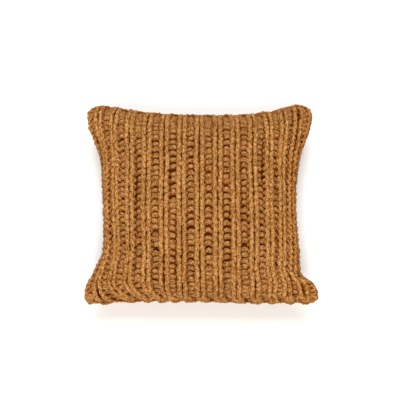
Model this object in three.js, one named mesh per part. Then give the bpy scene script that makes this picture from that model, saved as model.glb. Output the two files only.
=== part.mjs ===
// Knitted cushion cover on its filling, lying on its back: millimetres, +Z up
// The face looks up, its top edge lies towards +Y and its right edge towards +X

import * as THREE from 'three';

// Form of the filled cover
const seamHeight = 68; // height of the sewn edge over the surface it lies on
const crownRise = 66; // the crown's middle over the rounded edge, on the face and on the back
const plumpness = 0.6; // below 1 fills the crown out towards its edges
const edgeRadius = 17; // half the thickness of the rounded edge, two layers of thick knit
const edgeTightness = 26; // how close to the sewn edge its rounding begins
const evenCloth = 0.78; // part of the cloth that lies evenly, the rest bunches towards the edges
const bunchFade = 1.3; // how soon the bunching eases towards the ears
const edgeFade = 6; // above 1 keeps an edge's own bends close to it

// Ribs: purl and knit columns side by side, a purl one along each side edge
const waleCount = 27;
const knitSection = [
  { across: -0.28, depth: 0 }, // left leg of the stitches
  { across: 0, depth: 2.4 }, // groove between the legs
  { across: 0.28, depth: 0 }, // right leg
];
const purlSection = [
  { across: -0.24, depth: 7 },
  { across: 0, depth: 5 }, // low arches in the middle of the valley
  { across: 0.24, depth: 7 },
];
const sideEdgeDepth = 1.5; // the sewn side edge under the crests
const ribAtEdge = 0.4; // part of the ribs' depth that is left where they reach the edge
const ribFade = 0.07; // part of the half panel over which they lose it
const rowCount = 34;
const rowCrowding = 0.3; // how much closer the rows of points lie at the two ends

// Rounded corners of the outline, seen from above
const corners = {
  bottomLeft: { x: -212, y: -182, radius: 14 },
  bottomRight: { x: 212, y: -180, radius: 15 },
  topRight: { x: 197, y: 176, radius: 24 },
  topLeft: { x: -202, y: 174, radius: 24 },
};

// Outline of the two sides between the corners, by height up the face
const leftSide = [
  { x: -226, y: -170 },
  { x: -222, y: -152 },
  { x: -211, y: -134 },
  { x: -203, y: -116 },
  { x: -192, y: -90 },
  { x: -191, y: -40 },
  { x: -194, y: 28 },
  { x: -198, y: 84 },
  { x: -208, y: 118 },
  { x: -221, y: 148 },
];
const rightSide = [
  { x: 226, y: -166 },
  { x: 218, y: -152 },
  { x: 203, y: -140 },
  { x: 194, y: -126 },
  { x: 193, y: -90 },
  { x: 188, y: -30 },
  { x: 188, y: 34 },
  { x: 195, y: 88 },
  { x: 205, y: 120 },
  { x: 216, y: 150 },
];

// Outline of the bottom and top edges between the corners, from left to right
const bottomEdge = [
  { x: -180, y: -193 },
  { x: -120, y: -191 },
  { x: 0, y: -191 },
  { x: 90, y: -194 },
  { x: 170, y: -194 },
];
const topEdge = [
  { x: -178, y: 197 },
  { x: -150, y: 192 },
  { x: -100, y: 185 },
  { x: -40, y: 181 },
  { x: 40, y: 180 },
  { x: 95, y: 182 },
  { x: 150, y: 190 },
  { x: 172, y: 198 },
];

// Creases pressed into the face, each a straight trough
const creases = [
  { x: 207, y: -182, heading: 48, length: 26, width: 6, depth: 6 }, // across the lower right ear
  { x: 199, y: 152, heading: 82, length: 44, width: 6, depth: 5 }, // down the upper right ear
  { x: -199, y: -160, heading: 128, length: 40, width: 9, depth: 4 }, // down the lower left flare
  { x: 188, y: -140, heading: 20, length: 30, width: 10, depth: 5 }, // in from the notch on the right
];

// Soft lumps of the filling under the face and the back
const lumps = { rise: 2.2, acrossLength: 61, upLength: 53, acrossStart: 0.8, upStart: -0.4 };

// One side of the outline, with half of the rounded corner at each of its ends
function outlineSide(startCorner, endCorner, facing, turn, points) {
  const halfCorner = turn * Math.PI / 4;
  const clockwise = turn < 0;
  const lastX = endCorner.x + endCorner.radius * Math.cos(facing);
  const lastY = endCorner.y + endCorner.radius * Math.sin(facing);
  const between = points.map((point) => new THREE.Vector2(point.x, point.y));
  const side = new THREE.Path();
  side.absarc(startCorner.x, startCorner.y, startCorner.radius, facing - halfCorner, facing, clockwise);
  side.splineThru([...between, new THREE.Vector2(lastX, lastY)]);
  side.absarc(endCorner.x, endCorner.y, endCorner.radius, facing, facing + halfCorner, clockwise);
  return side;
}

const { bottomLeft, bottomRight, topRight, topLeft } = corners;
const outline = {
  left: outlineSide(bottomLeft, topLeft, Math.PI, -1, leftSide),
  right: outlineSide(bottomRight, topRight, 0, 1, rightSide),
  bottom: outlineSide(bottomLeft, bottomRight, 1.5 * Math.PI, 1, bottomEdge),
  top: outlineSide(topLeft, topRight, 0.5 * Math.PI, -1, topEdge),
};

// What an edge adds to the panel beside it: its even bow reaches across, the rest stays near the edge
function edgePull(edge, along, away) {
  const start = edge.getPoint(0);
  const end = edge.getPoint(1);
  const bowDepth = edge.getPoint(0.5).sub(start.clone().lerp(end, 0.5));
  const bow = bowDepth.multiplyScalar(4 * along * (1 - along));
  const rest = edge.getPoint(along).sub(start.clone().lerp(end, along)).sub(bow);
  return bow.multiplyScalar(1 - away).addScaledVector(rest, (1 - away) ** edgeFade);
}

// A place inside the outline, by its share of the way across and of the way up
function planPoint(across, up) {
  const lowEnds = outline.bottom.getPoint(0).lerp(outline.bottom.getPoint(1), across);
  const highEnds = outline.top.getPoint(0).lerp(outline.top.getPoint(1), across);
  return lowEnds.lerp(highEnds, up)
    .add(edgePull(outline.left, up, across))
    .add(edgePull(outline.right, up, 1 - across))
    .add(edgePull(outline.bottom, across, up))
    .add(edgePull(outline.top, across, 1 - up));
}

// Share of the way to an edge for a share of the cloth: 0 is the middle, 1 the sewn edge
function reachOf(cloth, otherCloth) {
  const bunching = (1 - otherCloth ** 2) ** bunchFade;
  const bunched = Math.sin(Math.PI / 2 * (evenCloth * cloth + (1 - evenCloth) * cloth ** 3));
  return THREE.MathUtils.lerp(cloth, bunched, bunching);
}

// A place on the smooth filled form, without its ribs, its height taken from the sewn edge
function smoothPoint(u, v) {
  const across = reachOf(u, v);
  const up = reachOf(v, u);
  const plan = planPoint((across + 1) / 2, (up + 1) / 2);
  const crown = ((1 - across ** 2) * (1 - up ** 2)) ** plumpness;
  const edge = Math.sqrt((1 - across ** edgeTightness) * (1 - up ** edgeTightness));
  const waves = Math.sin(plan.x / lumps.acrossLength + lumps.acrossStart) *
    Math.sin(plan.y / lumps.upLength + lumps.upStart);
  return new THREE.Vector3(plan.x, plan.y, edge * edgeRadius + crown * (crownRise + lumps.rise * waves));
}

// Which way the cloth faces at a place, from its neighbours a little way off
function facingAt(u, v) {
  const step = 0.004;
  const inside = 1 - 2 * step;
  const x = THREE.MathUtils.clamp(u, -inside, inside);
  const y = THREE.MathUtils.clamp(v, -inside, inside);
  const across = smoothPoint(x + step, y).sub(smoothPoint(x - step, y));
  const up = smoothPoint(x, y + step).sub(smoothPoint(x, y - step));
  return across.cross(up).normalize();
}

// How far the creases sink the cloth at a place
function creaseDepth(place) {
  let depth = 0;
  for (const crease of creases) {
    const heading = THREE.MathUtils.degToRad(crease.heading);
    const dx = place.x - crease.x;
    const dy = place.y - crease.y;
    const along = dx * Math.cos(heading) + dy * Math.sin(heading);
    const aside = dy * Math.cos(heading) - dx * Math.sin(heading);
    const nearness = (2 * along / crease.length) ** 2 + (aside / crease.width) ** 2;
    depth += crease.depth * Math.exp(-nearness);
  }
  return depth;
}

// The columns of points over a panel, three to each wale and one at each side edge
function ribColumns() {
  const columns = [{ u: -1, depth: sideEdgeDepth }];
  for (let wale = 0; wale < waleCount; wale += 1) {
    const profile = wale % 2 === 0 ? purlSection : knitSection;
    for (const point of profile) {
      columns.push({ u: 2 * (wale + 0.5 + point.across) / waleCount - 1, depth: point.depth });
    }
  }
  columns.push({ u: 1, depth: sideEdgeDepth });
  return columns;
}

// The rows of points up a panel, closer at its two ends
function rowHeights() {
  const heights = [];
  for (let row = 0; row <= rowCount; row += 1) {
    const even = 2 * row / rowCount - 1;
    heights.push(even * (1 + rowCrowding) - rowCrowding * even ** 3);
  }
  return heights;
}

// How deep a column of points lies under the crests, less where the ribs reach the edge
function ribDepth(column, v) {
  const toEdge = Math.max(0, (Math.max(Math.abs(column.u), Math.abs(v)) - 1 + ribFade) / ribFade);
  return column.depth * (1 - (1 - ribAtEdge) * toEdge);
}

// The whole filled cover as one closed body: face and back share the points of the sewn edge
function cushionGeometry() {
  const columns = ribColumns();
  const heights = rowHeights();
  const lastColumn = columns.length - 1;
  const points = [];
  const faceIndex = [];
  const backIndex = [];
  heights.forEach((v, row) => {
    faceIndex.push([]);
    backIndex.push([]);
    columns.forEach((column, index) => {
      const place = smoothPoint(column.u, v);
      const facing = facingAt(column.u, v);
      const ribs = ribDepth(column, v);
      const onEdge = row === 0 || row === rowCount || index === 0 || index === lastColumn;
      const sewn = onEdge ? new THREE.Vector3(1, 1, 0) : new THREE.Vector3(1, 1, 1);
      const face = place.clone().addScaledVector(facing, -ribs - creaseDepth(place)).multiply(sewn);
      faceIndex[row].push(points.length / 3);
      points.push(face.x, face.y, seamHeight + face.z);
      if (onEdge) {
        backIndex[row].push(faceIndex[row][index]);
        return;
      }
      const back = place.clone().addScaledVector(facing, -ribs);
      backIndex[row].push(points.length / 3);
      points.push(back.x, back.y, Math.max(0, seamHeight - back.z));
    });
  });

  // Two triangles to each cell, the back's turned over so that both sides face out
  const triangles = [];
  for (let row = 0; row < rowCount; row += 1) {
    for (let index = 0; index < lastColumn; index += 1) {
      for (const [grid, turned] of [[faceIndex, false], [backIndex, true]]) {
        const a = grid[row][index];
        const b = grid[row][index + 1];
        const c = grid[row + 1][index + 1];
        const d = grid[row + 1][index];
        triangles.push(...(turned ? [a, c, b, a, d, c] : [a, b, c, a, c, d]));
      }
    }
  }

  const geometry = new THREE.BufferGeometry();
  geometry.setAttribute('position', new THREE.Float32BufferAttribute(points, 3));
  geometry.setIndex(triangles);
  geometry.computeBoundingBox();
  const { min, max } = geometry.boundingBox;
  geometry.translate(-(min.x + max.x) / 2, -(min.y + max.y) / 2, -min.z);
  geometry.computeVertexNormals();
  return geometry;
}

const nubblyYarn = new THREE.MeshStandardMaterial({ color: 0xaa743e, roughness: 0.95, metalness: 0 });

const cushion = new THREE.Mesh(cushionGeometry(), nubblyYarn);
cushion.name = 'cushion';

const cover = new THREE.Group();
cover.add(cushion);

export default cover;
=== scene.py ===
import math

import bpy
import numpy as np
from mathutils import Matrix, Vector


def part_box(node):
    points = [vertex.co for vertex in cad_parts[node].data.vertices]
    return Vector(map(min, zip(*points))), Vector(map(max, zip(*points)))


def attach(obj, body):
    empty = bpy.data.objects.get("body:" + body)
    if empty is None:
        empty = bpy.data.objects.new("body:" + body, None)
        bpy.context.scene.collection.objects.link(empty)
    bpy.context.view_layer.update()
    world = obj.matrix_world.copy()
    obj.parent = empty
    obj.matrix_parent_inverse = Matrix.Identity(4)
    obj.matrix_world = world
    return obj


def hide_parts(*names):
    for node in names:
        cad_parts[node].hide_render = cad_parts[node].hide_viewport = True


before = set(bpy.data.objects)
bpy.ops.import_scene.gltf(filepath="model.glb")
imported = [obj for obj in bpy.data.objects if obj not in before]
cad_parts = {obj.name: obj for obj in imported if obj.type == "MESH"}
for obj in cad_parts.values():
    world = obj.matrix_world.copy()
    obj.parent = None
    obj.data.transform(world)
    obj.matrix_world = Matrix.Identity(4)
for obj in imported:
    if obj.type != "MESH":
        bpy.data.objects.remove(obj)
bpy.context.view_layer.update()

mm = 0.001


# Colours and nodes
def fromHex(text):
    parts = [int(text[i:i + 2], 16) / 255 for i in (1, 3, 5)]
    linear = [c / 12.92 if c <= 0.04045 else ((c + 0.055) / 1.055) ** 2.4 for c in parts]
    return (*linear, 1.0)


def addNode(tree, kind, settings=None, links=None, **sockets):
    # settings are the node's own options, sockets its values and links its wires
    node = tree.nodes.new(kind)
    for name, value in (settings or {}).items():
        setattr(node, name, value)
    for name, value in sockets.items():
        node.inputs[name.replace("_", " ")].default_value = value
    for name, wire in (links or {}).items():
        tree.links.new(wire, node.inputs[name])
    return node


def newMaterial(name):
    material = bpy.data.materials.new(name)
    material.use_nodes = True
    material.node_tree.nodes.clear()
    return material, material.node_tree


# Form of the filled cover, in millimetres, the same as the solid's
form = {
    "seamHeight": 68,  # the sewn edge over the surface
    "crownRise": 66,  # the crown's middle over the rounded edge
    "plumpness": 0.6,  # below 1 fills the crown out towards its edges
    "edgeRadius": 17,  # half the thickness of the rounded edge
    "edgeTightness": 26,  # the higher, the nearer the sewn edge it keeps its thickness
    "evenCloth": 0.78,  # the rest of the cloth bunches towards the edges
    "bunchFade": 1.3,  # how soon it bunches less towards the corners
    "edgeFade": 6,  # how soon the outline's own turns fade inwards
    "halfWidth": 215,  # mm of cloth from the middle to the sewn edge
    "halfHeight": 190,
    "lumps": {"rise": 2.2, "across": (61, 0.8), "up": (53, -0.4)},
    "corners": {  # x, y and radius of each rounded corner
        "bottomLeft": (-212, -182, 14),
        "bottomRight": (212, -180, 15),
        "topRight": (197, 176, 24),
        "topLeft": (-202, 174, 24),
    },
    "left": [(-226, -170), (-222, -152), (-211, -134), (-203, -116), (-192, -90),
             (-191, -40), (-194, 28), (-198, 84), (-208, 118), (-221, 148)],
    "right": [(226, -166), (218, -152), (203, -140), (194, -126), (193, -90),
              (188, -30), (188, 34), (195, 88), (205, 120), (216, 150)],
    "bottom": [(-180, -193), (-120, -191), (0, -191), (90, -194), (170, -194)],
    "top": [(-178, 197), (-150, 192), (-100, 185), (-40, 181), (40, 180),
            (95, 182), (150, 190), (172, 198)],
    "creases": [  # x, y, heading, length, width and depth of each trough in the face
        (207, -182, 48, 26, 5, 7),
        (199, 152, 82, 44, 5, 7),
        (-199, -160, 128, 40, 9, 4),
        (188, -140, 20, 30, 10, 5),
    ],
}


def arcPoints(corner, start, end):
    x, y, radius = form["corners"][corner]
    angles = np.radians(np.linspace(start, end, 24))
    return np.stack([x + radius * np.cos(angles), y + radius * np.sin(angles)], 1)


def smoothThrough(points):
    # Catmull-Rom spline through the outline's points
    points = np.array(points, float)
    ends = np.concatenate([points[:1], points, points[-1:]])
    steps = np.linspace(0, 1, 16, endpoint=False)[:, None]
    pieces = []
    for a, b, c, d in zip(ends, ends[1:], ends[2:], ends[3:]):
        slopeIn, slopeOut = (c - a) / 2, (d - b) / 2
        pieces.append((2 * b - 2 * c + slopeIn + slopeOut) * steps ** 3
                      + (-3 * b + 3 * c - 2 * slopeIn - slopeOut) * steps ** 2 + slopeIn * steps + b)
    return np.concatenate([*pieces, points[-1:]])


def runLength(points):
    # how far along its path each point lies
    steps = np.linalg.norm(np.diff(points, axis=0), axis=-1)
    return np.concatenate([np.zeros_like(steps[:1]), np.cumsum(steps, axis=0)])


def outlineSide(side, firstCorner, lastCorner, facing, turn):
    before = arcPoints(firstCorner, facing - 45 * turn, facing)
    after = arcPoints(lastCorner, facing, facing + 45 * turn)
    middle = smoothThrough([before[-1], *form[side], after[0]])
    path = np.concatenate([before[:-1], middle, after[1:]])
    lengths = runLength(path)
    return path, lengths / lengths[-1]


outline = {
    "left": outlineSide("left", "bottomLeft", "topLeft", 180, -1),
    "right": outlineSide("right", "bottomRight", "topRight", 0, 1),
    "bottom": outlineSide("bottom", "bottomLeft", "bottomRight", 270, 1),
    "top": outlineSide("top", "topLeft", "topRight", 90, -1),
}


def alongSide(side, share):
    path, lengths = outline[side]
    return np.stack([np.interp(share, lengths, path[:, k]) for k in (0, 1)], -1)


def edgePull(side, along, away):
    # the even bow reaches across, the rest stays near the edge
    start, end, middle = (alongSide(side, np.float64(k)) for k in (0, 1, 0.5))
    bow = (middle - (start + end) / 2) * (4 * along * (1 - along))[..., None]
    rest = alongSide(side, along) - start - (end - start) * along[..., None] - bow
    away = (1 - away)[..., None]
    return bow * away + rest * away ** form["edgeFade"]


def planPoint(across, up):
    ends = {side: [alongSide(side, np.float64(k)) for k in (0, 1)] for side in ("bottom", "top")}
    low = ends["bottom"][0] + (ends["bottom"][1] - ends["bottom"][0]) * across[..., None]
    high = ends["top"][0] + (ends["top"][1] - ends["top"][0]) * across[..., None]
    return (low + (high - low) * up[..., None]
            + edgePull("left", up, across) + edgePull("right", up, 1 - across)
            + edgePull("bottom", across, up) + edgePull("top", across, 1 - up))


def reachOf(cloth, otherCloth):
    bunching = np.clip(1 - otherCloth ** 2, 0, 1) ** form["bunchFade"]
    even = form["evenCloth"]
    bunched = np.sin(math.pi / 2 * (even * cloth + (1 - even) * cloth ** 3))
    return cloth + (bunched - cloth) * bunching


def smoothPoint(u, v):
    # a place on the filled form without its ribs, its height taken from the sewn edge
    u, v = np.clip(u, -1, 1), np.clip(v, -1, 1)
    across, up = reachOf(u, v), reachOf(v, u)
    plan = planPoint((across + 1) / 2, (up + 1) / 2)
    crown = ((1 - across ** 2) * (1 - up ** 2)).clip(0) ** form["plumpness"]
    tight = form["edgeTightness"]
    edge = np.sqrt(((1 - across ** tight) * (1 - up ** tight)).clip(0))
    lumps = form["lumps"]
    waves = (np.sin(plan[..., 0] / lumps["across"][0] + lumps["across"][1])
             * np.sin(plan[..., 1] / lumps["up"][0] + lumps["up"][1]))
    height = edge * form["edgeRadius"] + crown * (form["crownRise"] + lumps["rise"] * waves)
    return np.concatenate([plan, height[..., None]], -1)


def smoothStep(start, end, value):
    share = np.clip((value - start) / (end - start), 0, 1)
    return share * share * (3 - 2 * share)


def unit(vectors):
    return vectors / np.maximum(np.linalg.norm(vectors, axis=-1, keepdims=True), 1e-9)


def facingAt(u, v):
    step = 0.004
    u, v = np.clip(u, 2 * step - 1, 1 - 2 * step), np.clip(v, 2 * step - 1, 1 - 2 * step)
    across = smoothPoint(u + step, v) - smoothPoint(u - step, v)
    up = smoothPoint(u, v + step) - smoothPoint(u, v - step)
    return unit(np.cross(across, up))


def creaseDepth(place):
    depth = 0
    for x, y, heading, length, width, deep in form["creases"]:
        turn = math.radians(heading)
        dx, dy = place[..., 0] - x, place[..., 1] - y
        along = dx * math.cos(turn) + dy * math.sin(turn)
        aside = dy * math.cos(turn) - dx * math.sin(turn)
        depth = depth + deep * np.exp(-(2 * along / length) ** 2 - (aside / width) ** 2)
    return depth


# The outline's middle goes to the middle of the frame's box
rim = np.concatenate([path for path, lengths in outline.values()])
rimMiddle = (rim.min(0) + rim.max(0)) / 2
boxLow, boxHigh = (np.array(corner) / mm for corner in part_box("cushion"))
shift = np.array([*((boxLow + boxHigh)[:2] / 2 - rimMiddle), 0])


def lookUp(table, x, y):
    # between a table's four nearest entries, with x and y from -1 to 1
    rows, columns = table.shape[:2]
    x = (np.clip(x, -1, 1) + 1) / 2 * (rows - 1)
    y = (np.clip(y, -1, 1) + 1) / 2 * (columns - 1)
    i, j = x.astype(int).clip(0, rows - 2), y.astype(int).clip(0, columns - 2)
    x, y = x - i, y - j
    if table.ndim == 3:
        x, y = x[..., None], y[..., None]
    return ((table[i, j] * (1 - x) + table[i + 1, j] * x) * (1 - y)
            + (table[i, j + 1] * (1 - x) + table[i + 1, j + 1] * x) * y)


closeness = 0.4 * math.pi  # how much closer the form's grid is at the rim


def closerAtRim(share):
    return np.sin(share * closeness) / math.sin(closeness)


def evenAgain(share):
    return np.arcsin(np.clip(share, -1, 1) * math.sin(closeness)) / closeness


filled = {}  # how far the filling moved each panel's cloth, in metres, once it has been simulated


def onPanel(panel, u, v, depth):
    # a place at a depth under the crests, on the face or the back, in metres
    place = smoothPoint(u, v)
    facing = facingAt(u, v)
    if panel == "face":
        depth = depth + creaseDepth(place)
    spot = place - facing * np.asarray(depth)[..., None]
    if panel == "back":
        spot = spot * (1, 1, -1)
        facing = facing * (1, 1, -1)
    spot = (spot + shift + (0, 0, form["seamHeight"])) * mm
    if panel in filled:
        spot = spot + lookUp(filled[panel], evenAgain(v), evenAgain(u))
    return spot, facing


def meshPiece(name, points, faces, material, hollow=None, spun=None):
    # the painted shade, 0 to 1, darkens each point by how deep between the stitches it lies and how far
    #     # it turns in, and spun gives its place on the yarn
    mesh = bpy.data.meshes.new(name)
    faces = np.asarray(faces, np.int32)
    mesh.vertices.add(len(points))
    mesh.vertices.foreach_set("co", np.asarray(points, np.float32).ravel())
    mesh.loops.add(faces.size)
    mesh.loops.foreach_set("vertex_index", faces.ravel())
    mesh.polygons.add(len(faces))
    mesh.polygons.foreach_set("loop_start", np.arange(0, faces.size, faces.shape[1], dtype=np.int32))
    mesh.polygons.foreach_set("use_smooth", np.ones(len(faces), bool))
    mesh.update(calc_edges=True)
    if hollow is not None:
        hollows = mesh.attributes.new("hollow", "FLOAT", "POINT")
        hollows.data.foreach_set("value", hollow.astype(np.float32))
        spuns = mesh.attributes.new("spun", "FLOAT_VECTOR", "POINT")
        spuns.data.foreach_set("vector", spun.astype(np.float32).ravel())
    mesh.materials.append(material)
    piece = bpy.data.objects.new(name, mesh)
    bpy.context.scene.collection.objects.link(piece)
    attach(piece, "root")
    return piece


# Yarn: thick nubby wool blend, loosely spun from flecked slubs. It is matt and grainy, its fibres run
# round it with the twist, its pits are dark, painted shade keeps it dark and warm where it lies deep or
# turns in, and its nap gives the raised parts a pale bloom
yarn = {
    "raised": "#C99D65",
    "body": "#A46A24",
    "pit": "#5E2904",
    "sunk": "#EEEDF2",  # painted shade, times the colour, on the loops that lie back, which look greyer
    "flank": "#DCA95C",  # and painted shade where the yarn turns in, which keeps it warm
    "hollow": "#8E5C1E",  # and painted shade deep between the stitches
    "slubSize": 1.7,  # mm across the yarn
    "slubStretch": 1.35,  # and how much longer along it
    "fibreSize": 0.55,  # mm, drawn coarser than the real hair so that it shows
    "fibreStretch": 9,
    "twistLength": 48,  # mm of yarn for one turn of its fibres
    "dyeSize": 45,  # mm, slow change of the dye over the cloth
    "pitAt": 0.39,  # of the slubs' noise
    "bodyAt": 0.46,
    "raisedAt": 0.55,
    "sunkAt": 0.2,  # of the way into the painted shade
    "flankAt": 0.5,
    "fibreShade": "#D2C2AE",  # times the colour, in the dark of the fibres' noise
    "dyeShade": "#EDE8E2",
    "roughness": 0.95,
    "specular": 0.03,
    "sheen": 0.03,
    "sheenRoughness": 0.4,
    "sheenTint": "#EBCFA9",
    "slubHeight": 1.0,  # mm
    "fibreHeight": 0.35,
}


def makeNubbyWool():
    material, tree = newMaterial("nubbyWool")
    spun = addNode(tree, "ShaderNodeAttribute", {"attribute_name": "spun"}).outputs["Vector"]
    place = addNode(tree, "ShaderNodeTexCoord").outputs["Object"]
    alongSlub = addNode(tree, "ShaderNodeMapping", links={"Vector": spun},
                        Scale=(1, 1, 1 / yarn["slubStretch"]))
    alongFibre = addNode(tree, "ShaderNodeMapping", links={"Vector": spun},
                         Scale=(1, 1, 1 / yarn["fibreStretch"]))
    slub = addNode(tree, "ShaderNodeTexNoise", links={"Vector": alongSlub.outputs["Vector"]},
                   Scale=1 / yarn["slubSize"], Detail=3.0, Roughness=0.65)
    fibre = addNode(tree, "ShaderNodeTexNoise", links={"Vector": alongFibre.outputs["Vector"]},
                    Scale=1 / yarn["fibreSize"], Detail=1.0, Roughness=0.5)
    dye = addNode(tree, "ShaderNodeTexNoise", links={"Vector": place},
                  Scale=1 / (yarn["dyeSize"] * mm), Detail=2.0, Roughness=0.5)

    # colour: from the pits of the yarn to its raised parts, times the fibres, the dye and the painted
    # shade of the hollows and flanks
    fleck = addNode(tree, "ShaderNodeValToRGB", links={"Fac": slub.outputs["Fac"]})
    fleck.color_ramp.elements[0].position = yarn["pitAt"]
    fleck.color_ramp.elements[0].color = fromHex(yarn["pit"])
    fleck.color_ramp.elements[1].position = yarn["raisedAt"]
    fleck.color_ramp.elements[1].color = fromHex(yarn["raised"])
    fleck.color_ramp.elements.new(yarn["bodyAt"]).color = fromHex(yarn["body"])
    colour = fleck.outputs["Color"]
    for wave, dark in ((fibre, yarn["fibreShade"]), (dye, yarn["dyeShade"])):
        ramp = addNode(tree, "ShaderNodeValToRGB", links={"Fac": wave.outputs["Fac"]})
        ramp.color_ramp.elements[0].position = 0.3
        ramp.color_ramp.elements[0].color = fromHex(dark)
        ramp.color_ramp.elements[1].position = 0.7
        ramp.color_ramp.elements[1].color = fromHex("#FFFFFF")
        over = addNode(tree, "ShaderNodeMix", {"data_type": "RGBA", "blend_type": "MULTIPLY"},
                       {6: colour, 7: ramp.outputs["Color"]})
        over.inputs[0].default_value = 1.0
        colour = over.outputs[2]
    # painted shade: the yarn is darkened and warmed where it lies deep between the stitches or turns in
    depth = addNode(tree, "ShaderNodeAttribute", {"attribute_name": "hollow"}).outputs["Fac"]
    shade = addNode(tree, "ShaderNodeValToRGB", links={"Fac": depth})
    shade.color_ramp.elements[0].color = fromHex("#FFFFFF")
    shade.color_ramp.elements[1].color = fromHex(yarn["hollow"])
    shade.color_ramp.elements.new(yarn["sunkAt"]).color = fromHex(yarn["sunk"])
    shade.color_ramp.elements.new(yarn["flankAt"]).color = fromHex(yarn["flank"])
    sunk = addNode(tree, "ShaderNodeMix", {"data_type": "RGBA", "blend_type": "MULTIPLY"},
                   {6: colour, 7: shade.outputs["Color"]})
    sunk.inputs[0].default_value = 1.0

    slubBump = addNode(tree, "ShaderNodeBump", links={"Height": slub.outputs["Fac"]},
                       Strength=1.0, Distance=yarn["slubHeight"] * mm)
    fibreBump = addNode(tree, "ShaderNodeBump",
                        links={"Height": fibre.outputs["Fac"], "Normal": slubBump.outputs["Normal"]},
                        Strength=0.8, Distance=yarn["fibreHeight"] * mm)
    cloth = addNode(tree, "ShaderNodeBsdfPrincipled",
                    links={"Base Color": sunk.outputs[2], "Normal": fibreBump.outputs["Normal"]},
                    Roughness=yarn["roughness"])
    cloth.inputs["Specular IOR Level"].default_value = yarn["specular"]
    cloth.inputs["Sheen Weight"].default_value = yarn["sheen"]
    cloth.inputs["Sheen Roughness"].default_value = yarn["sheenRoughness"]
    cloth.inputs["Sheen Tint"].default_value = fromHex(yarn["sheenTint"])
    addNode(tree, "ShaderNodeOutputMaterial", links={"Surface": cloth.outputs["BSDF"]})
    return material


nubbyWool = makeNubbyWool()
print("yarn material made")


# Ground: the same wool on a closed form under the stitches, matt; its dark warm colour is painted shade,
# the yarn as it looks shadowed in the gaps between them
ground = {
    # painted shade: both colours are the yarn's, darkened as in the shadowed gaps
    "colour": "#5E2D0A",
    "between": "#4E2408",  # painted shade, darker between its loops
    "loopSize": 6,  # mm
    "loopHeight": 1.5,
    "depth": 17,  # mm under the crests
    "rimDepth": 12,  # mm inside the sewn edge
    "rimWidth": 26,  # mm over which the one turns into the other
    "thinnest": 1,  # mm from the face to the back
    "offFloor": 6,  # mm, so that the back's stitches lie under it
    "columns": 72,
    "rows": 66,
}

# Filling: presses the form's cloth out from within, with the seam held
filling = {
    "pressure": 4,
    "slack": 0.95,  # of its height, which the form starts from
    "frames": 20,
    "most": 6,  # mm that a point may move from the form
}


def makeGroundCloth():
    material, tree = newMaterial("shadedGroundKnit")
    place = addNode(tree, "ShaderNodeTexCoord").outputs["Object"]
    loops = addNode(tree, "ShaderNodeTexVoronoi", links={"Vector": place},
                    Scale=1 / (ground["loopSize"] * mm))
    bump = addNode(tree, "ShaderNodeBump", links={"Height": loops.outputs["Distance"]},
                   Strength=0.6, Distance=ground["loopHeight"] * mm)
    # painted shade: dark in the loops, darker between them
    ramp = addNode(tree, "ShaderNodeValToRGB", links={"Fac": loops.outputs["Distance"]})
    ramp.color_ramp.elements[0].color = fromHex(ground["colour"])
    ramp.color_ramp.elements[1].color = fromHex(ground["between"])
    cloth = addNode(tree, "ShaderNodeBsdfPrincipled",
                    links={"Base Color": ramp.outputs["Color"], "Normal": bump.outputs["Normal"]},
                    Roughness=1.0)
    cloth.inputs["Specular IOR Level"].default_value = 0.0
    addNode(tree, "ShaderNodeOutputMaterial", links={"Surface": cloth.outputs["BSDF"]})
    return material


def panelGrid(panel):
    columns, rows = ground["columns"], ground["rows"]
    u, v = np.meshgrid(*(closerAtRim(np.linspace(-1, 1, count + 1)) for count in (columns, rows)))
    toRim = np.minimum(form["halfWidth"] * (1 - abs(u)), form["halfHeight"] * (1 - abs(v)))
    inward = smoothStep(0, ground["rimWidth"], toRim)
    depth = ground["rimDepth"] + (ground["depth"] - ground["rimDepth"]) * inward
    return onPanel(panel, u, v, depth)[0]


def makeGround():
    columns, rows = ground["columns"], ground["rows"]
    face, back = panelGrid("face"), panelGrid("back")
    middle = (face[..., 2] + back[..., 2]) / 2
    thinnest = ground["thinnest"] * mm
    crossed = face[..., 2] < back[..., 2] + thinnest
    face[..., 2] = np.where(crossed, middle + thinnest / 2, face[..., 2])
    back[..., 2] = np.where(crossed, middle - thinnest / 2, back[..., 2])
    onRim = np.zeros((rows + 1, columns + 1), bool)
    onRim[[0, -1], :] = True
    onRim[:, [0, -1]] = True
    face[onRim, 2] = form["seamHeight"] * mm
    back[..., 2] = back[..., 2].clip(ground["offFloor"] * mm)
    faceIndex = np.arange((rows + 1) * (columns + 1)).reshape(rows + 1, columns + 1)
    backIndex = faceIndex.copy()
    backIndex[~onRim] = faceIndex.size + np.arange((~onRim).sum())
    points = np.concatenate([face.reshape(-1, 3), back[~onRim]])

    def cells(index):
        corners = [index[:-1, :-1], index[:-1, 1:], index[1:, 1:], index[1:, :-1]]
        return np.stack(corners, -1).reshape(-1, 4)

    faces = np.concatenate([cells(faceIndex), cells(backIndex)[:, ::-1]])
    piece = meshPiece("filledForm", points, faces, makeGroundCloth())
    return piece, {"face": faceIndex, "back": backIndex}, faceIndex[onRim]


def vertexPlaces(mesh):
    places = np.empty(len(mesh.vertices) * 3, np.float32)
    mesh.vertices.foreach_get("co", places)
    return places.reshape(-1, 3).astype(float)


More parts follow.
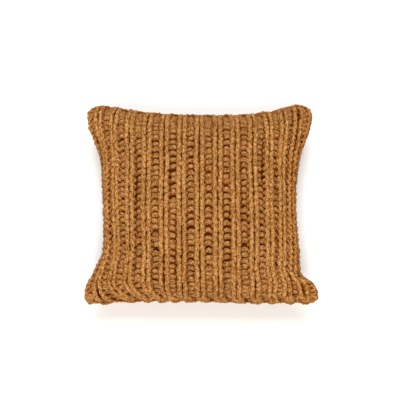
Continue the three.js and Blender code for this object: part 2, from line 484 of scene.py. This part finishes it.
def pressOut(piece, seamPoints):
    # simulates the cloth, applies the result within its limit and returns how far each point went
    made = vertexPlaces(piece.data)
    slack = made.copy()
    seamHeight = form["seamHeight"] * mm
    slack[:, 2] = seamHeight + (slack[:, 2] - seamHeight) * filling["slack"]
    piece.data.vertices.foreach_set("co", slack.astype(np.float32).ravel())
    piece.vertex_groups.new(name="seam").add(seamPoints.tolist(), 1.0, "REPLACE")

    cloth = piece.modifiers.new("filling", "CLOTH")
    cloth.settings.vertex_group_mass = "seam"
    cloth.settings.use_pressure = True
    cloth.settings.uniform_pressure_force = filling["pressure"]
    cloth.settings.effector_weights.gravity = 0
    cloth.collision_settings.use_collision = False
    cloth.point_cache.frame_end = filling["frames"]
    scene = bpy.context.scene
    for step in range(1, filling["frames"] + 1):
        scene.frame_set(step)
    simulated = piece.evaluated_get(bpy.context.evaluated_depsgraph_get())
    moved = vertexPlaces(simulated.data) - made
    piece.modifiers.remove(cloth)
    piece.vertex_groups.clear()
    scene.frame_set(1)
    length = np.linalg.norm(moved, axis=1, keepdims=True)
    moved = moved * np.minimum(1, filling["most"] * mm / np.maximum(length, 1e-9))
    applied = made + moved
    applied[:, 2] = np.maximum(applied[:, 2], made[:, 2].min())
    piece.data.vertices.foreach_set("co", applied.astype(np.float32).ravel())
    piece.data.update()
    return applied - made


filledForm, panelIndex, seamPoints = makeGround()
moved = pressOut(filledForm, seamPoints)
for panel, index in panelIndex.items():
    filled[panel] = moved[index]
print("filling pressed out, by", np.round(abs(moved).max(0) / mm, 1), "mm at most")
filledForm.modifiers.new("finer", "SUBSURF")
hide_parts("cushion")
print("filled form made")


# Knit: one by one rib, each course one strand that loops through every wale
knit = {
    "wales": 27,  # whole ones, purl at both ends, and half a knit one runs along each side seam
    "courses": 36,
    "extraCourses": 1,  # at each end, turned in at the seam
    "evenFrom": 0.85,  # of the half panel, from where the stitches keep their size over the rim
    "sideEnd": 1.037,  # the cloth's share that lies on the sewn edge: a knit wale's middle at the sides
    "courseEnd": 1.02,
    "clothEnd": 1.14,
    "startsBefore": 1.1,  # wales before the first one's middle, where each course starts
    "endsAfter": 1.4,  # and past the last one's middle, where it ends
    "loopHeight": 9.4,  # mm, from a course's middle to its loops' tops
    "waleWidth": 16.9,  # mm
    "courseHeight": 11.8,
    "knitWider": 0.28,  # knit wales take more room than purl ones
    "knitRadius": 4.7,  # mm, the yarn swells in the legs of knit stitches
    "purlRadius": 4.65,
    "knitLean": 0.94,  # how far a loop closes at its foot
    "purlLean": 0.98,
    "knitHead": -3.6,  # mm forward of the purl arches: heads, legs and links between stitches
    "knitLegs": 6.3,
    "legsLow": 1.36,  # above 1 the knit legs stand out most near their foot
    "legsFull": 0.7,  # below 1 they stand out over more of their length
    "purlLegs": -8.9,
    "link": -4.8,
    "leftLift": 1.8,  # mm by which the purl arches come up away from the middle
    "rightLift": 0.6,
    "liftRange": (0.3, 0.7),  # of the half width, where that begins and where it is full
    "sideThin": 0.13,  # how much thinner the knit legs are towards the sides
    "sideHollow": 1.4,  # mm by which the hollows' painted shade begins higher towards them
    "sideRange": (0.55, 0.8),
    "rightIn": 4.5,  # mm by which the wales at the right lie further in
    "rightRange": (0.5, 0.8),
    "rimRelief": 0.4,  # the rib's relief where the seams pull it flat
    "hemRelief": 0.85,
    "rimWidth": 10,  # mm over which they do
    "hemWidth": (22, 6),  # mm from the hem, where it begins to be felt and where it is felt fully
    "hemWider": 0.22,  # the knit legs spread over the purl ones above the hem
    "hemTuck": 2.5,  # mm by which the last stitches go in behind the hem's edge
    "tuckWidth": (9, 2),
    "turnIn": 1.5,  # mm deeper for each mm of cloth past the sewn edge
    "endDrift": 9,  # mm, the wales' feet run off to the right, the more so at the lower left
    "endHeight": 26,  # mm over which they do
    "endRange": (0.8, 1),  # of the half width, over which that fades at both sides
    "cornerDrift": 22,
    "cornerHeight": 52,
    "cornerRange": (-1.03, -0.72, -0.65, -0.1),  # where that begins, is full, begins to fade and ends
    "wander": 1.7,  # mm, how far a wale strays sideways
    "slip": 2.4,  # mm, how far a wale's stitches slip up or down against its neighbours'
    "strayAside": 0.575,  # mm, how far each stitch strays of itself
    "strayUp": 1.15,
    "straySunk": 0.69,
    "sunkMost": 1.2,  # mm, how deep a stitch may sink
    "strayTall": 0.06,  # of a loop's height
    "opened": 0.055,  # how far the two legs of a knit stitch part
    "openedSlowly": 0.063,  # and how unevenly: up a wale, wale against wale and stitch against stitch
    "openedWale": 0.054,
    "openedStitch": 0.126,
    "sideOpened": 1.3,  # how much further they part in the last knit wale at the right
    "sideOpenedRange": (1.05, 0.7),  # of the half height, where they begin to and where they fully do
    "openRange": (-10, 45),  # mm above the hem, from closed to fully open
    "slowness": {"wander": 30, "opened": 8, "slip": 20},  # rounds of smoothing up a wale
    "nubs": 0.65,  # mm, how far the slubs stand out of the yarn
    "hollowStart": 11.2,  # mm under the crests, where painted shade begins in the yarn's hollows
    "hollowEnd": 16,
    "purlHollow": 0.15,  # the least painted shade on the purl arches, which lie back
    "knitFlank": 0.7,  # where round the yarn painted shade begins on its flanks, higher is nearer its crest
    "purlFlank": 0.12,
    "flankShade": 0.85,  # how fast that painted shade deepens
    "seed": 11,
    "face": {"steps": 28, "sides": 10, "parts": 4},  # points to a wale, points round the yarn, pieces
    "back": {"steps": 20, "sides": 6, "parts": 2},
}


def smoothNoise(random, shape, rounds):
    # one value for each stitch, smooth from row to row
    noise = random.standard_normal(shape)
    for _ in range(rounds):
        noise = (np.roll(noise, 1, 0) + 2 * noise + np.roll(noise, -1, 0)) / 4
    return noise / noise.std()


tableSize = {
    "rows": 401,
    "columns": 81,
    "steps": 121,  # along the form, from where the stitches keep their size to the edge
    "firstSteps": 20,  # the ones that give the stitches' size
}


def rimTables(pointsAt, end):
    # near its edge the form stretches over the rim but the stitches don't: this gives the form's share
    # for a share of the cloth, to past the edge, and how many mm of cloth lie past it
    rows, columns, first = tableSize["rows"], tableSize["columns"], tableSize["firstSteps"]
    cloth, cross = np.linspace(-knit["clothEnd"], knit["clothEnd"], rows), np.linspace(-1, 1, columns)
    start = knit["evenFrom"]
    shares, past = np.repeat(cloth[:, None], columns, 1), np.zeros((rows, columns))
    for side in (-1, 1):
        along = np.linspace(start, 1, tableSize["steps"])
        points = pointsAt(*np.meshgrid(side * along, cross, indexing="ij"))
        lengths = runLength(points)
        scale = lengths[first] / (along[first] - start)  # mm for a share, where the form is still even
        spare = lengths[-1] - scale * (end - start)
        outer = side * cloth > start
        for column in range(columns):
            beyond = abs(cloth[outer]) - start
            needed = beyond * scale[column] + spare[column] * (beyond / (end - start)) ** 2
            shares[outer, column] = side * np.interp(needed, lengths[:, column], along)
            past[outer, column] = (needed - lengths[-1, column]).clip(0)
    return shares, past


acrossShares, acrossPast = rimTables(smoothPoint, knit["sideEnd"])
upShares, upPast = rimTables(lambda up, across: smoothPoint(across, up), knit["courseEnd"])


def tubeMesh(centres, facing, radius, hollow, flank, random, sides):
    # tubes around rows of points: centres and facing are rows x steps x 3, and radius, the painted shade
    # of
    #     # the hollows and the flank rows x steps
    rows, steps, _ = centres.shape
    ahead = unit(np.gradient(centres, axis=1))
    outward = unit(facing - (facing * ahead).sum(-1, keepdims=True) * ahead)
    aside = np.cross(ahead, outward)
    noise = random.standard_normal((rows, steps, sides))
    for axis, own in ((2, 2.5), (1, 4.5)):  # smoothed round the yarn, and then less along it
        noise = np.roll(noise, 1, axis) + own * noise + np.roll(noise, -1, axis)
    size = radius[..., None] + knit["nubs"] * mm * noise / noise.std()
    turn = 2 * math.pi * np.arange(sides)[:, None] / sides
    ring = outward[:, :, None] * np.cos(turn) + aside[:, :, None] * np.sin(turn)
    points = centres[:, :, None] + ring * size[..., None]
    along = np.cumsum(np.linalg.norm(np.gradient(centres, axis=1), axis=-1), 1) / mm
    along = along + random.uniform(0, 500, (rows, 1))  # no two strands are alike
    twist = turn[:, 0] + 2 * math.pi / yarn["twistLength"] * along[..., None]
    spun = np.stack([np.cos(twist) * size / mm, np.sin(twist) * size / mm,
                     np.broadcast_to(along[..., None], size.shape)], -1)
    index = np.arange(rows * steps * sides).reshape(rows, steps, sides)
    nextSide = np.roll(index, -1, 2)
    faces = np.stack([index[:, :-1], index[:, 1:], nextSide[:, 1:], nextSide[:, :-1]], -1)
    # painted shade: the hollow's, and more on the flanks as they turn in away from the crest
    shadeAmount = hollow[..., None] + knit["flankShade"] * (flank[..., None] - np.cos(turn[:, 0])).clip(0)
    return points.reshape(-1, 3), faces.reshape(-1, 4), shadeAmount.ravel().clip(0, 1), spun.reshape(-1, 3)


def footDrift(across, fromHem):
    # how far to the right the wales lie above the hem
    foot = smoothStep(knit["endHeight"], 0, fromHem) * (1 - smoothStep(*knit["endRange"], abs(across)))
    begins, full, fades, ends = knit["cornerRange"]
    nearCorner = smoothStep(begins, full, across) * smoothStep(ends, fades, across)
    corner = smoothStep(knit["cornerHeight"], 0, fromHem) * nearCorner
    return (knit["endDrift"] * foot + knit["cornerDrift"] * corner) / form["halfWidth"]


def courseStrands(panel, random, steps):
    wales, courses = knit["wales"], knit["courses"]
    start, end = -knit["startsBefore"], wales - 1 + knit["endsAfter"]
    turns = np.linspace(start, end, round((end - start) * steps) + 1)  # wale numbers along a course
    wale = np.floor(turns + 0.5).astype(int)
    isKnit = wale % 2 == 1
    angle = 2 * math.pi * (turns - wale)  # 0 at a loop's top, half a turn at the link to the next
    fromTop = abs(angle) / math.pi
    legs = np.sin(math.pi * fromTop ** np.where(isKnit, knit["legsLow"], 1.0)) ** 2
    legs = np.where(isKnit, legs ** knit["legsFull"], legs)
    toLink = (1 - np.cos(math.pi * fromTop)) / 2
    head = np.where(isKnit, knit["knitHead"], 0)
    front = np.where(isKnit, knit["knitLegs"] - knit["link"], knit["purlLegs"] - knit["link"])
    forward = head + (knit["link"] - head) * toLink + front * legs

    # unevenness: wales wander and slip, stitches are tight or loose, some sink
    each = (courses + 2 * knit["extraCourses"], wales + 2)
    slowness = knit["slowness"]
    aside = knit["wander"] * smoothNoise(random, each, slowness["wander"])
    aside = aside + knit["strayAside"] * random.standard_normal(each)
    higher = knit["strayUp"] * random.standard_normal(each)
    taller = 1 + knit["strayTall"] * random.standard_normal(each)
    sunk = knit["straySunk"] * random.standard_normal(each)
    opened = knit["opened"] + knit["openedSlowly"] * smoothNoise(random, each, slowness["opened"])
    opened = opened + knit["openedWale"] * random.standard_normal((1, wales + 2))
    opened = opened + knit["openedStitch"] * random.standard_normal(each)
    slipped = knit["slip"] * smoothNoise(random, each, slowness["slip"])
    slipped = np.stack([np.interp(turns, np.arange(-1, wales + 1), row) for row in slipped])
    aside, higher, taller, sunk, opened = (k[:, wale + 1] for k in (aside, higher, taller, sunk, opened))
    own = (np.cos(angle) + 1) / 2  # a stitch's own shift fades out at its links

    course = np.arange(-knit["extraCourses"], courses + knit["extraCourses"])[:, None]
    fromCourse = higher * own + slipped + knit["loopHeight"] * taller * np.cos(angle)  # mm
    up = (course + 0.5 + fromCourse / knit["courseHeight"]) / courses * 2 - 1
    fromHem = (1 + up).clip(0) * form["halfHeight"]
    opened = opened + knit["sideOpened"] * (wale == wales - 2) * smoothStep(*knit["sideOpenedRange"], up)
    opened = opened * smoothStep(*knit["openRange"], fromHem)
    lean = np.where(isKnit, knit["knitLean"], knit["purlLean"])
    warp = knit["knitWider"] / math.pi * np.sin(math.pi * (turns - 1))
    across = turns + warp + (lean * np.sin(2 * angle) + opened * np.sin(angle)) / (2 * math.pi)
    across = (across - (wales - 1) / 2 + aside / knit["waleWidth"] * own) / (wales / 2)
    across = across - knit["rightIn"] / form["halfWidth"] * smoothStep(*knit["rightRange"], across)
    toRim = np.minimum((knit["sideEnd"] - abs(across)) * form["halfWidth"],
                       (knit["courseEnd"] - abs(up)) * form["halfHeight"])
    if panel == "face":
        across = across + footDrift(across, fromHem)
    acrossShare, upShare = across / knit["clothEnd"], up / knit["clothEnd"]
    u, v = lookUp(acrossShares, acrossShare, up), lookUp(upShares, upShare, across)
    past = np.hypot(lookUp(acrossPast, acrossShare, up), lookUp(upPast, upShare, across))

    # the rib flattens at the seams, and the last loops turn in
    atHem = smoothStep(*knit["hemWidth"], fromHem) * (panel == "face")
    atSides = smoothStep(*knit["sideRange"], abs(across))
    least = knit["rimRelief"] + (knit["hemRelief"] - knit["rimRelief"]) * atHem
    relief = least + (1 - least) * smoothStep(0, knit["rimWidth"], toRim)
    lift = np.where(across < 0, knit["leftLift"], knit["rightLift"])
    forward = forward + lift * smoothStep(*knit["liftRange"], abs(across)) * own ** 2 * ~isKnit
    sunk = (sunk * own).clip(0, knit["sunkMost"])
    depth = (knit["knitLegs"] - forward + sunk) * relief + knit["knitRadius"]
    wider = (knit["hemWider"] * atHem - knit["sideThin"] * atSides * (1 - atHem)) * isKnit
    radius = knit["purlRadius"] + (knit["knitRadius"] - knit["purlRadius"]) * legs * isKnit
    radius = radius * (1 + wider)
    depth = depth + knit["hemTuck"] * smoothStep(*knit["tuckWidth"], fromHem) + knit["knitRadius"] * wider
    places, facing = onPanel(panel, u, v, depth + knit["turnIn"] * past)

    # painted shade: the deeper the yarn lies the darker it is painted, and on the knit legs' flanks it
    # begins sooner
    if panel == "face":
        depth = depth + creaseDepth(smoothPoint(u, v))
    hollow = smoothStep(knit["hollowStart"], knit["hollowEnd"], depth + knit["sideHollow"] * atSides)
    hollow = np.maximum(hollow, knit["purlHollow"] * ~isKnit)
    flank = knit["purlFlank"] + (knit["knitFlank"] - knit["purlFlank"]) * legs * isKnit
    return places, facing, radius * mm, hollow, np.broadcast_to(flank, hollow.shape)


def makePanel(panel):
    random = np.random.RandomState(knit["seed"] + (panel == "back"))
    detail = knit[panel]
    strands = courseStrands(panel, random, detail["steps"])
    for part, rows in enumerate(np.array_split(np.arange(len(strands[0])), detail["parts"])):
        own = [values[rows] for values in strands]
        points, faces, *yarnValues = tubeMesh(*own, random, detail["sides"])
        if panel == "back":
            points[:, 2] = points[:, 2].clip(0)
        meshPiece(f"{panel}Courses{part + 1}", points, faces, nubbyWool, *yarnValues)


for panel in ("face", "back"):
    makePanel(panel)
print("courses knitted")


# Seam: the panels' edges are joined by two strands that wind round each other along the rim
seam = {
    "yarnRadius": 3.4,  # mm
    "windRadius": 2.2,  # mm, from the seam's middle to each strand's
    "sink": 3.5,  # mm, how far the strands lie in between the last stitches
    "topSink": -1.2,  # along the top they stand proud of them
    "hemSink": 1.0,  # and along the hem they lie in less
    "hemLump": 1.4,  # mm by which they stand out at each knit wale of the hem, and back at each purl one
    "hemSwell": 0.28,  # and how much thicker and thinner they are there
    "lumpSizes": (0.45, 1.2),  # the least and the most, no two wales alike
    "hemFade": 0.03,  # of the hem's length, over which the lumps fade out at each end
    "endRange": (0.5, 0.95),  # how far the rim faces up or down, where the top and the hem begin
    "turnLength": 70,  # mm along the rim for one turn, so a strand comes over at each knit wale
    "step": 1.8,  # mm between points
    "headingSteps": 3,  # points to each side that give the rim's heading
    "sides": 10,
    "seed": 5,
}


def rimLoop():
    sides = [outline["bottom"][0], outline["right"][0], outline["top"][0][::-1], outline["left"][0][::-1]]
    path = np.concatenate([side[:-1] for side in sides])
    closed = np.concatenate([path, path[:1]])
    lengths = runLength(closed)
    count = int(lengths[-1] / seam["step"])
    at = np.linspace(0, lengths[-1], count + 1)
    even = np.stack([np.interp(at, lengths, closed[:, k]) for k in (0, 1)], 1)[:-1]
    reach = seam["headingSteps"]
    ahead = unit(np.roll(even, -reach, 0) - np.roll(even, reach, 0))
    outward = np.stack([ahead[:, 1], -ahead[:, 0]], 1)
    hemShare = at[:-1] / lengths[len(sides[0]) - 1]  # past 1 beyond the hem
    return even, outward, hemShare, lengths[-1]


def hemWave(hemShare):
    # 1 at the foot of each knit wale, -1 at each purl one's, and 0 away from the hem
    across = np.linspace(-1, 1, 601)
    lies = (across + footDrift(across, 0 * across)) / knit["clothEnd"]
    share = (lookUp(acrossShares, lies, 0 * across - 1) + 1) / 2
    wale = np.interp(hemShare, share, across * knit["wales"] / 2 + (knit["wales"] - 1) / 2)
    uneven = np.random.RandomState(seam["seed"]).uniform(*seam["lumpSizes"], knit["wales"] + 2)
    size = uneven[np.round(wale).astype(int).clip(0, knit["wales"])]
    fade = seam["hemFade"]
    along = smoothStep(0, fade, hemShare) * smoothStep(1, 1 - fade, hemShare)
    return -np.cos(math.pi * wale) * size * along


def makeSeam():
    random = np.random.RandomState(seam["seed"])
    path, outward, hemShare, length = rimLoop()
    count = len(path)
    top = smoothStep(*seam["endRange"], outward[:, 1])
    hem = smoothStep(*seam["endRange"], -outward[:, 1])
    wave = hemWave(hemShare)
    sink = (seam["sink"] + (seam["topSink"] - seam["sink"]) * top + (seam["hemSink"] - seam["sink"]) * hem
            - seam["hemLump"] * wave)
    path = path - outward * (seam["yarnRadius"] + seam["windRadius"] + sink)[:, None]
    turns = -2 * math.pi * round(length / seam["turnLength"]) * np.arange(count) / count
    middle = np.concatenate([path, np.full((count, 1), form["seamHeight"])], 1) + shift
    outward = np.concatenate([outward, np.zeros((count, 1))], 1)
    strands = []
    for start in (0, math.pi):
        wind = (turns + start)[:, None]
        around = outward * np.cos(wind) + np.array([0, 0, 1]) * np.sin(wind)
        strand = middle + seam["windRadius"] * around
        strands.append(np.concatenate([strand, strand[:1]]))
    facing = np.concatenate([outward, outward[:1]])
    radius = seam["yarnRadius"] * mm * (1 + seam["hemSwell"] * np.concatenate([wave, wave[:1]]))
    radius = np.stack([radius, radius])
    # the strands get painted shade only on their flanks where they turn in, none for depth
    hollow, flank = np.zeros_like(radius), np.full_like(radius, knit["knitFlank"])
    points, faces, *yarnValues = tubeMesh(np.array(strands) * mm, np.array([facing, facing]), radius,
                                          hollow, flank, random, seam["sides"])
    meshPiece("rimSeam", points, faces, nubbyWool, *yarnValues)


makeSeam()
print("seam sewn")


# Floor, light and camera
stage = {
    "floorSize": 30.0,
    "floorGap": 0.5,  # mm under the cushion, so that the two don't meet in one plane
    "floorColour": "#EBEBEB",
    "key": {"place": (-0.15, -1.6, 1.9), "size": 2.0, "power": 72.5, "colour": "#FFF8F0"},
    "overhead": {"place": (0, 1.5, 2.3), "size": 2.0, "power": 86, "colour": "#FFFFFF"},
    "lampAim": 70,  # mm over the floor
    "surroundings": 0.3,  # the even light from all round
    "lookAt": (-2, 8, 70),  # mm, a little off the middle as the photo is framed
    "elevation": 82,
    "distance": 2200,
    "lens": 101.2,
}


def makeFloor():
    half = stage["floorSize"] / 2
    mesh = bpy.data.meshes.new("floor")
    corners = [(-half, -half, 0), (half, -half, 0), (half, half, 0), (-half, half, 0)]
    mesh.from_pydata(corners, [], [(0, 1, 2, 3)])
    # a matt painted board, even and pale
    material, tree = newMaterial("paleFloor")
    paint = addNode(tree, "ShaderNodeBsdfPrincipled", Roughness=0.9)
    paint.inputs["Base Color"].default_value = fromHex(stage["floorColour"])
    paint.inputs["Specular IOR Level"].default_value = 0.1
    addNode(tree, "ShaderNodeOutputMaterial", links={"Surface": paint.outputs["BSDF"]})
    mesh.materials.append(material)
    floor = bpy.data.objects.new("floor", mesh)
    floor.location.z = -stage["floorGap"] * mm
    bpy.context.scene.collection.objects.link(floor)


def makeLight(name):
    values = stage[name]
    lamp = bpy.data.lights.new(name, "AREA")
    lamp.size = values["size"]
    lamp.energy = values["power"]
    lamp.color = fromHex(values["colour"])[:3]
    light = bpy.data.objects.new(name, lamp)
    light.location = values["place"]
    heading = Vector((0, 0, stage["lampAim"] * mm)) - light.location
    light.rotation_euler = heading.to_track_quat("-Z", "Y").to_euler()
    bpy.context.scene.collection.objects.link(light)


def makeCamera():
    elevation = math.radians(stage["elevation"])
    back = Vector((0, -math.cos(elevation), math.sin(elevation)))
    camera = bpy.data.objects.new("camera", bpy.data.cameras.new("camera"))
    camera.data.lens = stage["lens"]
    camera.data.sensor_width = 36
    camera.location = Vector(stage["lookAt"]) * mm + back * stage["distance"] * mm
    camera.rotation_euler = (-back).to_track_quat("-Z", "Y").to_euler()
    camera.data.clip_start = 0.05
    camera.data.clip_end = 50
    bpy.context.scene.collection.objects.link(camera)
    bpy.context.scene.camera = camera


makeFloor()
makeLight("key")
makeLight("overhead")
makeCamera()

world = bpy.data.worlds.new("studio")
world.use_nodes = True
world.node_tree.nodes["Background"].inputs["Color"].default_value = (1, 1, 1, 1)
world.node_tree.nodes["Background"].inputs["Strength"].default_value = stage["surroundings"]
bpy.context.scene.world = world
bpy.context.scene.view_settings.view_transform = "Standard"
print("stage set")
